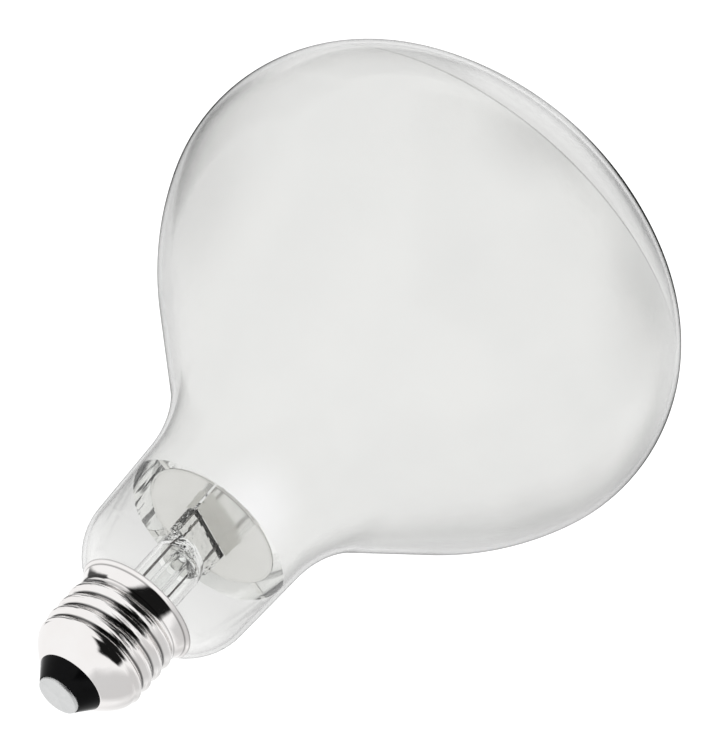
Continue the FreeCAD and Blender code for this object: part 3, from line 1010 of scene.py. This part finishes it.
@dataclass
class Bulb:
    """Blown bulb with its mirror film; sizes in mm and degrees."""

    bulb_r: float = 62.5
    wall: float = 0.9
    seal_r: float = 11.0
    seal_depth: float = 20.0
    seal_length: float = 3.091
    shoulder_in_r: float = 6.0
    shoulder_angle: float = 52.0
    shoulder_run: float = 2.0
    neck_r: float = 20.5
    neck_taper: float = 2.6
    neck_length: float = 19.8
    flare_r: float = 33.0
    cone_angle: float = 42.5
    belly_r: float = 68.5
    belly_angle: float = 20.2
    rim_r: float = 36.4
    rim_angle: float = 48.8
    film_gap: float = 0.04
    film: float = 0.06
    film_top_depth: float = 53.0
    film_front_depth: float = 148.5
    step: float = 1.6

    def outline(self, inset: float) -> list[RingPoint]:
        """The bulb's line from the seal to the middle of the dome.

        Args:
            inset: how far it is set in from the outside.

        Returns:
            Radius and depth of its points.
        """
        path = Outline(self.seal_r, self.seal_depth, inset, self.step)
        cone = math.radians(self.cone_angle)
        belly = math.radians(self.belly_angle)
        path.mark()
        path.line(self.seal_length)
        path.arc(self.shoulder_in_r, self.shoulder_angle)
        path.line(self.shoulder_run)
        lean = math.cos(math.radians(self.neck_taper)) - math.cos(math.radians(self.shoulder_angle))
        path.arc((self.neck_r - path.r) / lean, self.neck_taper)
        path.line(self.neck_length)
        path.arc(self.flare_r, self.cone_angle)
        belly_start_r = self.bulb_r - self.rim_r * (1.0 - math.cos(belly))
        belly_start_r -= self.belly_r * (math.cos(belly) - math.cos(cone))
        path.line((belly_start_r - path.r) / math.sin(cone))
        path.arc(self.belly_r, self.belly_angle)
        path.arc(self.rim_r, -self.rim_angle)
        path.arc(path.r / math.cos(math.radians(self.rim_angle)), -90.0)
        pole_depth = path.points.pop()[1]
        return path.points + [(0.0, pole_depth)]

    def film_side(self, inset: float) -> list[RingPoint]:
        """The stretch of the bulb's line between the film's two edges.

        Args:
            inset: how far it is set in from the outside.

        Returns:
            Radius and depth of its points.
        """
        line = self.outline(inset)
        side = [cross(line, self.film_top_depth)]
        side += [point for point in line if self.film_top_depth < point[1] < self.film_front_depth]
        return side + [cross(line, self.film_front_depth)]

    def build(self) -> None:
        """Turn the glass and the film, and hand them in."""
        glass = lathe("bulb_glass", BULB_GLASS, self.outline(0.0)[::-1] + self.outline(self.wall))
        hand_in(glass, "glass_envelope")
        back = self.film_side(self.wall + self.film_gap)
        face = self.film_side(self.wall + self.film_gap + self.film)
        finish = replace(MIRROR_FILM, edge_z=-self.film_front_depth * MM)
        film = lathe("mirror_film", finish, back + face[::-1], closed=True)
        hand_in(film, "mirror_coating")


def cross(line: Sequence[RingPoint], depth: float) -> RingPoint:
    """Point where a line first passes a depth.

    Args:
        line: radius and depth of its points.
        depth: the depth in mm.

    Returns:
        The point on the line.
    """
    for (r, top), (next_r, bottom) in zip(line, line[1:]):
        if top <= depth < bottom:
            return (r + (next_r - r) * (depth - top) / (bottom - top), depth)
    raise ValueError(f"the line doesn't reach depth {depth}")


@dataclass
class ScrewCap:
    """Rolled screw shell, black glass insulator and solder pad; sizes in mm."""

    wall: float = 0.3
    lip_r: float = 7.95
    lip_depth: float = 4.7
    cone_height: float = 5.6
    pitch: float = 3.629
    crest_r: float = 13.15
    thread_height: float = 0.9
    thread_length: float = 14.0
    crest_depth: float = 13.9
    skirt_height: float = 3.7
    skirt_flare: float = 1.3
    flare_curve: float = 1.6
    cone_bulge: float = 0.55
    rim_lip: float = 0.3
    rim_height: float = 0.9
    # line_width, crease_shade, unshaded_share and groove_shade set the painted shade in the creases and
    # grooves
    line_width: float = 0.24
    crease_shade: float = 0.7
    corner: float = 0.7
    unshaded_share: float = 0.72
    groove_shade: float = 0.95
    shell_segments: int = 240
    shell_rows: int = 156
    shell_crease: float = 50.0
    face_r: float = 5.3
    face_depth: float = 0.9
    face_round: float = 0.25
    lip_round: float = 0.12
    seat_gap: float = 0.05
    seat_drop: float = 0.02
    seat_round: float = 0.05
    floor_r: float = 10.6
    floor_depth: float = 8.2
    floor_round: float = 0.3
    pad_r: float = 5.0
    pad_fall: float = 0.06
    pad_edge: float = 0.45
    pad_gap: float = 0.02
    pad_foot: float = 0.05

    def shell(self) -> Piece:
        """The rolled sheet with its right-hand thread, as one rule over a grid.

        Returns:
            The shell as a closed sheet.
        """
        names = (
            "wall", "lip_r", "lip_depth", "cone_height", "cone_bulge", "corner", "pitch",
            "crest_r", "crest_depth", "thread_height", "thread_length",
            "skirt_height", "skirt_flare", "rim_lip", "rim_height", "line_width",
        )
        recipe = Recipe("rolled_shell", {name: getattr(self, name) * MM for name in names})
        graph = recipe.graph
        rows = self.shell_rows
        grid = graph.add("GeometryNodeMeshGrid", sockets={
            "Size X": 1.0,
            "Size Y": 1.0,
            "Vertices X": self.shell_segments + 1,
            "Vertices Y": 2 * rows + 1,
        })
        across, along, _ = graph.split(graph.add("GeometryNodeInputPosition").outputs[0])
        turn = across + 0.5
        row = graph.maths(Op.ROUND, (along + 0.5) * (2 * rows))
        past_rim = graph.maths(Op.OVER, row, rows - 0.5)
        inside = past_rim - graph.maths(Op.OVER, row, 2 * rows - 0.5)
        level = row * (1.0 - past_rim) + inside * (2 * rows - 1 - row)
        place, painted_shade, rolled = self.sheet_place(recipe, turn, level / (rows - 1), inside)
        marked = recipe.mark(recipe.mark(grid.outputs["Mesh"], PAINTED_SHADE_ATTRIBUTE, painted_shade), ROLLED, rolled)
        sheet = recipe.shape(marked, place)
        welded = graph.add("GeometryNodeMergeByDistance", sockets={"Geometry": sheet, "Distance": WELD})
        return smooth(recipe.piece(welded.outputs[0], CAP_PLATE.material()), self.shell_crease)

    def sheet_place(
        self, recipe: Recipe, turn: Value, level: Value, inside: Value
    ) -> tuple[Socket, Value, Value]:
        """Where a point of the sheet lies, how much painted shade it carries and whether it is on the
        thread.

        Args:
            recipe: the shell's tree.
            turn: share of a turn round the axis.
            level: share of the height from the lip to the rim.
            inside: 1 on the inner side of the sheet.

        Returns:
            The point's position, 0 to 1 for the painted shade in the grooves, along the skirt's two creases
            and at its end, and 0 to 1 for the thread.
        """
        graph = recipe.graph
        size = recipe.size
        mean_r = size("crest_r") - size("thread_height") * 0.5
        drop = level * (size("cone_height") + size("thread_length") + size("skirt_height"))
        past_corner = drop - size("cone_height")
        past_thread = past_corner - size("thread_length")
        cone_rise = (mean_r - size("lip_r")) * past_corner / size("cone_height")
        cone = mean_r + cone_rise
        down_cone = (drop / size("cone_height")).clamped()
        domed = cone + size("cone_bulge") * 4.0 * down_cone * (1.0 - down_cone)
        barrel = graph.maths(Op.SMOOTH_MINIMUM, domed, mean_r, size("corner"))
        down_skirt = (past_thread / size("skirt_height")).clamped()
        down_rim = ((past_thread - size("skirt_height")) / size("rim_height") + 1.0).clamped()
        flare = size("skirt_flare") * graph.maths(Op.POWER, down_skirt, self.flare_curve)
        base = barrel + flare + size("rim_lip") * down_rim.eased()
        from_end = graph.maths(Op.MINIMUM, past_corner, 0.0 - past_thread)
        fade = (from_end * 2.0 / size("pitch")).clamped()
        phase = (drop + size("lip_depth") - size("crest_depth")) / size("pitch") + turn
        wave = graph.maths(Op.COSINE, phase * (2.0 * math.pi))
        r = base + size("thread_height") * 0.5 * fade * wave - size("wall") * inside
        angle = turn * (2.0 * math.pi)
        x = r * graph.maths(Op.COSINE, angle)
        y = r * graph.maths(Op.SINE, angle)
        # painted shade in the thread's grooves
        groove = (fade * (0.0 - wave - self.unshaded_share) / (1.0 - self.unshaded_share)).clamped()
        # painted shade along the skirt's two creases and at its end
        from_seam = graph.maths(Op.ABSOLUTE, past_thread)
        to_end = size("skirt_height") - past_thread
        from_crease = graph.maths(Op.ABSOLUTE, to_end - size("rim_height"))
        nearest = graph.maths(Op.MINIMUM, graph.maths(Op.MINIMUM, from_seam, from_crease), to_end)
        line = (1.0 - nearest / size("line_width")).clamped()
        painted_shade = graph.maths(Op.MAXIMUM, groove * self.groove_shade, line * self.crease_shade)
        return graph.join(x, y, 0.0 - drop - size("lip_depth")), painted_shade, fade

    def insulator(self) -> Piece:
        """Pressed glass cone with rounded edges, closed under the shell's end.

        Returns:
            The insulator, smooth and closed.
        """
        return lathe("pressed_insulator", BLACK_GLASS, rounded([
            (0.0, self.face_depth, 0.0),
            (self.face_r, self.face_depth, self.face_round),
            (self.lip_r, self.lip_depth, self.lip_round),
            (self.lip_r - self.wall - self.seat_gap, self.lip_depth + self.seat_drop, self.seat_round),
            (self.floor_r, self.floor_depth, self.floor_round),
            (0.0, self.floor_depth, 0.0),
        ]))

    def pad(self) -> Piece:
        """Flat solder pad with a rounded edge.

        Returns:
            The pad, smooth and closed.
        """
        foot_depth = self.face_depth - self.pad_gap
        return lathe("solder_pad", SOLDER, rounded([
            (0.0, 0.0, 0.0),
            (self.pad_r, self.pad_fall, self.pad_edge),
            (self.pad_r, foot_depth, self.pad_foot),
            (0.0, foot_depth, 0.0),
        ]))

    def build(self) -> None:
        """Make the cap's pieces and hand them in."""
        hand_in(self.shell(), "screw_shell")
        hand_in(self.insulator(), "cap_insulator")
        hand_in(self.pad(), "contact_solder")
        dress(["contact_eyelet"], BRASS)
        dress(["capping_cement"], CEMENT)


@dataclass
class Mount:
    """Glass stem with its heat shield, leads, supports and coiled filament; sizes in mm and degrees."""

    press_angle: float = -35.0
    ring_r: float = 17.0
    ring_depth: float = 98.0
    gap_angle: float = 50.0
    coil_r: float = 0.86
    wire_r: float = 0.13
    coil_pitch: float = 0.5
    points_per_turn: int = 14
    wire_sides: int = 6
    wire_crease: float = 80.0
    supports: int = 5
    pinch_height: float = 13.0

    def coil(self) -> Piece:
        """Tungsten wire coiled along the open ring.

        Returns:
            The coil as one closed wire.
        """
        sweep = math.radians(360.0 - self.gap_angle)
        turns = round(sweep * self.ring_r / self.coil_pitch)
        recipe = Recipe("coiled_filament", {
            "Ring radius": self.ring_r * MM,
            "Ring depth": self.ring_depth * MM,
            "Coil radius": self.coil_r * MM,
            "Wire radius": self.wire_r * MM,
            "Turns": float(turns),
            "Sweep": sweep,
            "Start": math.radians(self.press_angle - 90.0 + self.gap_angle / 2.0),
        })
        graph = recipe.graph
        size = recipe.size
        count = turns * self.points_per_turn + 1
        line = graph.add("GeometryNodeMeshLine", sockets={"Count": count}).outputs[0]
        share = Value(graph, graph.add("GeometryNodeInputIndex").outputs[0]) / (count - 1)
        angle = size("Start") + share * size("Sweep")
        phase = share * size("Turns") * (2.0 * math.pi)
        r = size("Ring radius") + size("Coil radius") * graph.maths(Op.COSINE, phase)
        z = size("Coil radius") * graph.maths(Op.SINE, phase) - size("Ring depth")
        x = r * graph.maths(Op.COSINE, angle)
        y = r * graph.maths(Op.SINE, angle)
        wound = recipe.shape(line, graph.join(x, y, z))
        path = graph.add("GeometryNodeMeshToCurve", sockets={0: wound}).outputs[0]
        section = graph.add("GeometryNodeCurvePrimitiveCircle", sockets={
            "Resolution": self.wire_sides,
            "Radius": size("Wire radius"),
        }).outputs[0]
        sockets = {"Curve": path, "Profile Curve": section, "Fill Caps": True}
        wire = graph.add("GeometryNodeCurveToMesh", sockets=sockets).outputs[0]
        return smooth(recipe.piece(wire, TUNGSTEN.material()), self.wire_crease)

    def build(self) -> None:
        """Make the coil and dress the rest of the mount."""
        hand_in(self.coil(), "filament")
        pinch_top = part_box("stem")[0][2] + self.pinch_height * MM
        dress(["stem"], PressedGlass(
            "stem_glass",
            tint=TUBE_GLASS.tint,
            waves_per_metre=TUBE_GLASS.waves_per_metre,
            pinch_top=pinch_top,
        ))
        dress(["exhaust_tube", "support_cane"], TUBE_GLASS)
        dress(["heat_shield"], SHIELD_SHEET)
        dress(["outer_lead_centre", "outer_lead_side"], COPPER)
        dress(["inner_lead_1", "inner_lead_2"], NICKEL)
        dress([f"support_wire_{number}" for number in range(1, self.supports + 1)], MOLYBDENUM)


@dataclass(frozen=True)
class Lamp:
    """A large soft area lamp."""

    name: str
    place: Triple
    size: float
    watts: float

    def build(self, aim: Vector) -> None:
        """Hang the lamp and turn it to the object.

        Args:
            aim: the point that it faces.
        """
        light = bpy.data.lights.new(self.name, "AREA")
        light.shape = "SQUARE"
        light.size = self.size
        light.energy = self.watts
        lamp = bpy.data.objects.new(self.name, light)
        lamp.location = self.place
        lamp.rotation_euler = (aim - Vector(self.place)).to_track_quat("-Z", "Y").to_euler()
        lamp.visible_glossy = False
        lamp.visible_transmission = False
        bpy.context.scene.collection.objects.link(lamp)


@dataclass(frozen=True)
class Card:
    """A flat card that only reflections or glass show; metres, and degrees round a point on the axis."""

    name: str
    depth: float
    azimuth: float
    elevation: float
    distance: float
    width: float
    height: float
    roll: float = 0.0
    tone: float = 0.01
    fade: float = 0.05
    seen: Seen = Seen.REFLECTED

    def build(self) -> None:
        """Stand the card up, facing its point on the axis."""
        turn = math.radians(self.azimuth)
        rise = math.radians(self.elevation)
        tip = math.radians(self.roll)
        out = Vector((math.sin(turn) * math.cos(rise), -math.cos(turn) * math.cos(rise), math.sin(rise)))
        level = Vector((math.cos(turn), math.sin(turn), 0.0))
        across = level * math.cos(tip) + out.cross(level) * math.sin(tip)
        side = across * self.width / 2.0
        up = out.cross(across) * self.height / 2.0
        centre = out * self.distance - Vector((0.0, 0.0, self.depth))
        mesh = bpy.data.meshes.new(self.name)
        places = [centre + side * (2.0 * u - 1.0) + up * (2.0 * v - 1.0) for u, v in SQUARE]
        mesh.from_pydata(places, [], [range(4)])
        corners = mesh.uv_layers.new(name=CARD_UV).data
        for corner, place in zip(corners, SQUARE):
            corner.uv = place
        mesh.materials.append(CardPaper(self.name, self.tone, self.width, self.height, self.fade).material())
        card = new_object(self.name, mesh)
        card.visible_camera = False
        card.visible_diffuse = False
        card.visible_shadow = False
        card.visible_glossy, card.visible_transmission = self.seen.value


@dataclass
class Studio:
    """Floor, soft light, reflector cards and the camera; sizes in metres and degrees."""

    aim_depth: float = 0.1077
    aim_side: float = -0.00187
    distance: float = 1.209
    tilt: float = 30.10
    roll: float = 48.0
    lens: float = 262.7
    sensor: float = 36.0
    floor_depth: float = 0.45
    floor_size: float = 12.0
    sky_light: float = 0.95
    backdrop: float = 1.0

    def camera(self) -> None:
        """Camera at the photograph's angle, rolled so that the lamp lies across the picture."""
        tilt = math.radians(self.tilt)
        roll = math.radians(self.roll)
        back = Vector((0.0, -math.cos(tilt), math.sin(tilt)))
        towards_dome = Vector((0.0, -math.sin(tilt), -math.cos(tilt)))
        side = Vector((1.0, 0.0, 0.0))
        right = math.cos(roll) * towards_dome - math.sin(roll) * side
        up = math.sin(roll) * towards_dome + math.cos(roll) * side
        place = Vector((self.aim_side, 0.0, -self.aim_depth)) + back * self.distance
        data = bpy.data.cameras.new("photo_camera")
        data.lens = self.lens
        data.sensor_width = self.sensor
        camera = bpy.data.objects.new("photo_camera", data)
        camera.matrix_world = Matrix.Translation(place) @ Matrix((right, up, back)).transposed().to_4x4()
        bpy.context.scene.collection.objects.link(camera)
        bpy.context.scene.camera = camera

    def floor(self) -> None:
        """Wide pale floor below the hanging lamp; metal and glass show the white world in its place."""
        half = self.floor_size / 2.0
        places = [((2.0 * u - 1.0) * half, (2.0 * v - 1.0) * half, -self.floor_depth) for u, v in SQUARE]
        mesh = bpy.data.meshes.new("pale_floor")
        mesh.from_pydata(places, [], [range(4)])
        mesh.materials.append(PaleFloor("pale_floor").material())
        floor = new_object("pale_floor", mesh)
        floor.visible_glossy = False
        floor.visible_transmission = False

    def sky(self) -> None:
        """White world for what is seen, and softer light for what is lit."""
        world = bpy.data.worlds.new("studio_sky")
        world.use_nodes = True
        world.node_tree.nodes.clear()
        graph = Graph(world.node_tree)
        lit = graph.add("ShaderNodeBackground", sockets={"Color": WHITE, "Strength": self.sky_light})
        seen = graph.add("ShaderNodeBackground", sockets={"Color": WHITE, "Strength": self.backdrop})
        share = graph.backdrop_rays()
        mixed = graph.add("ShaderNodeMixShader", sockets={0: share, 1: lit.outputs[0], 2: seen.outputs[0]})
        graph.add("ShaderNodeOutputWorld", sockets={"Surface": mixed.outputs[0]})
        bpy.context.scene.world = world

    def build(self) -> None:
        """Set up the studio."""
        aim = Vector((0.0, 0.0, -self.aim_depth))
        bpy.context.scene.view_settings.view_transform = "Standard"
        self.camera()
        self.floor()
        self.sky()
        for lamp in LAMPS:
            lamp.build(aim)
        for card in CARDS:
            card.build()


LAMPS = [
    Lamp("key_lamp", (1.4, -1.2, 1.7), 1.8, 14.0),
    Lamp("fill_lamp", (-1.8, -0.8, 1.2), 1.6, 7.0),
]
CARDS = [
    Card("streak_card", 0.015, -5.0, -18.0, 0.6, 1.3, 2.3, roll=22.0, fade=0.24),
    Card("thread_card", 0.015, 100.0, -58.0, 0.5, 0.32, 0.38, tone=0.015, fade=0.06),
    Card("left_card", 0.015, 118.0, -25.0, 0.9, 1.2, 0.62, tone=0.08, fade=0.14),
    Card("right_card", 0.015, -98.0, 32.0, 0.9, 1.8, 2.4, tone=0.68, fade=0.45),
    Card("back_left_card", 0.1, 150.0, -20.0, 1.1, 1.1, 1.2, tone=0.72, fade=0.5, seen=Seen.THROUGH_GLASS),
    Card("back_right_card", 0.1, -140.0, -14.0, 1.1, 1.6, 1.9, tone=0.7, fade=0.7, seen=Seen.BOTH),
    Card("veil_card", 0.16, 180.0, -30.0, 0.8, 0.54, 0.54, tone=0.77, fade=0.14, seen=Seen.THROUGH_GLASS),
    Card("under_card", 0.15, -90.0, -72.0, 0.5, 1.3, 1.3, tone=0.8, fade=0.6, seen=Seen.THROUGH_GLASS),
]


def main() -> None:
    """Build the lamp piece by piece and the studio round it."""
    logging.basicConfig(level=logging.INFO, format="%(name)s: %(message)s")
    for assembly in (Bulb(), ScrewCap(), Mount(), Studio()):
        assembly.build()
        LOG.info("%s is done", type(assembly).__name__)


if __name__ == "__main__":
    main()
